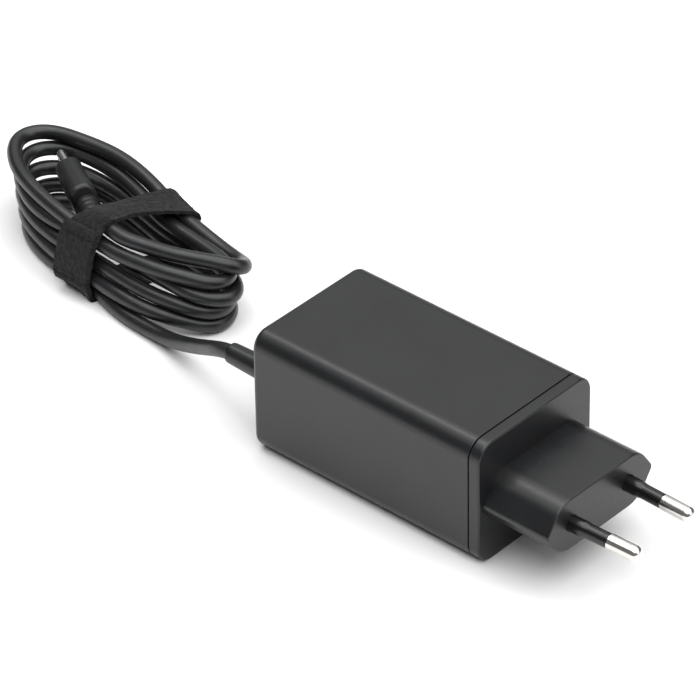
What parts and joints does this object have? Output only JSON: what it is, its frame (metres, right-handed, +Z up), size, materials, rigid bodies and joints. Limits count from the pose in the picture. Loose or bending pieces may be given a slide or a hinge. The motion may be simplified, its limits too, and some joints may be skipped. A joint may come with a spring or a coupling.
{
  "type": "usb wall charger",
  "caption": "Black box-shaped USB wall charger with a two-pin round-pin plug nose and a captive USB-C cable wound into a strapped hank.",
  "frame": {"origin": "on the resting plane, under the middle of the charger between its strain relief's tip and its pin tips", "axes": "+X from the cable end to the plug pins, +Z up from the resting face, +Y to the left of the pins seen from the cable end"},
  "size_m": [0.2094, 0.0483, 0.031],
  "materials": {
    "housing_black": "fine-grained satin moulded plastic",
    "plug_black": "satin moulded elastomer",
    "sleeve_black": "smooth moulded plastic",
    "pin_nickel": "nickel plated, lightly drawn",
    "terminal_brass": "stamped brass",
    "cord_jacket": "satin extruded elastomer",
    "strap_fabric": "napped woven hook-and-loop tape",
    "plug_steel": "bright drawn steel",
    "contact_gold": "gold plated",
    "board_green": "solder-masked laminate",
    "ferrite_grey": "sintered ferrite",
    "winding_copper": "enamelled copper wire",
    "component_black": "moulded epoxy",
    "component_blue": "dipped epoxy",
    "component_yellow": "moulded box and polyester tape",
    "can_sleeve": "heat-shrunk sleeve",
    "heat_aluminium": "rolled sheet",
    "liner_film": "polyester film",
    "wire_red": "extruded wire jacket",
    "wire_black": "extruded wire jacket"
  },
  "bodies": {
    "charger": {"main_housing": "housing_black", "front_cap": "housing_black", "strain_relief": "housing_black", "pin_carrier": "component_black", "pin_sleeve_left": "sleeve_black", "pin_sleeve_right": "sleeve_black", "contact_pin_left": "pin_nickel", "contact_pin_right": "pin_nickel", "pin_terminal_left": "terminal_brass", "pin_terminal_right": "terminal_brass", "insulating_liner": "liner_film", "main_board": "board_green", "fuse": "component_black", "varistor": "component_blue", "x_capacitor": "component_yellow", "y_capacitor": "component_blue", "line_filter_core": "ferrite_grey", "line_filter_winding_left": "winding_copper", "line_filter_winding_right": "winding_copper", "bridge_rectifier": "component_black", "bulk_capacitor_left": "can_sleeve", "bulk_capacitor_right": "can_sleeve", "heat_spreader": "heat_aluminium", "power_switch": "component_black", "transformer_core_lower": "ferrite_grey", "transformer_core_upper": "ferrite_grey", "transformer_winding": "component_yellow", "output_capacitor_inner": "can_sleeve", "output_capacitor_outer": "can_sleeve", "controller_board": "board_green", "controller_chip": "component_black", "output_wire_positive": "wire_red", "output_wire_negative": "wire_black", "cord_lead": "cord_jacket", "cord_hank": "cord_jacket", "cord_tail": "cord_jacket", "hank_strap": "strap_fabric", "plug_overmould": "plug_black", "plug_strain_relief": "plug_black", "plug_shell": "plug_steel", "plug_insulator": "component_black", "plug_contacts_upper": "contact_gold", "plug_contacts_lower": "contact_gold", "plug_board": "board_green"},
    "strap_tab": {"strap_tab": "strap_fabric"}
  },
  "joints": [
    {"name": "strap_tab_peel", "type": "hinge", "parent": "charger", "child": "strap_tab", "pos_m": [-0.1163, -0.0032, 0.018], "axis": [-1, 0, 0], "range_deg": [0, 95]}
  ]
}
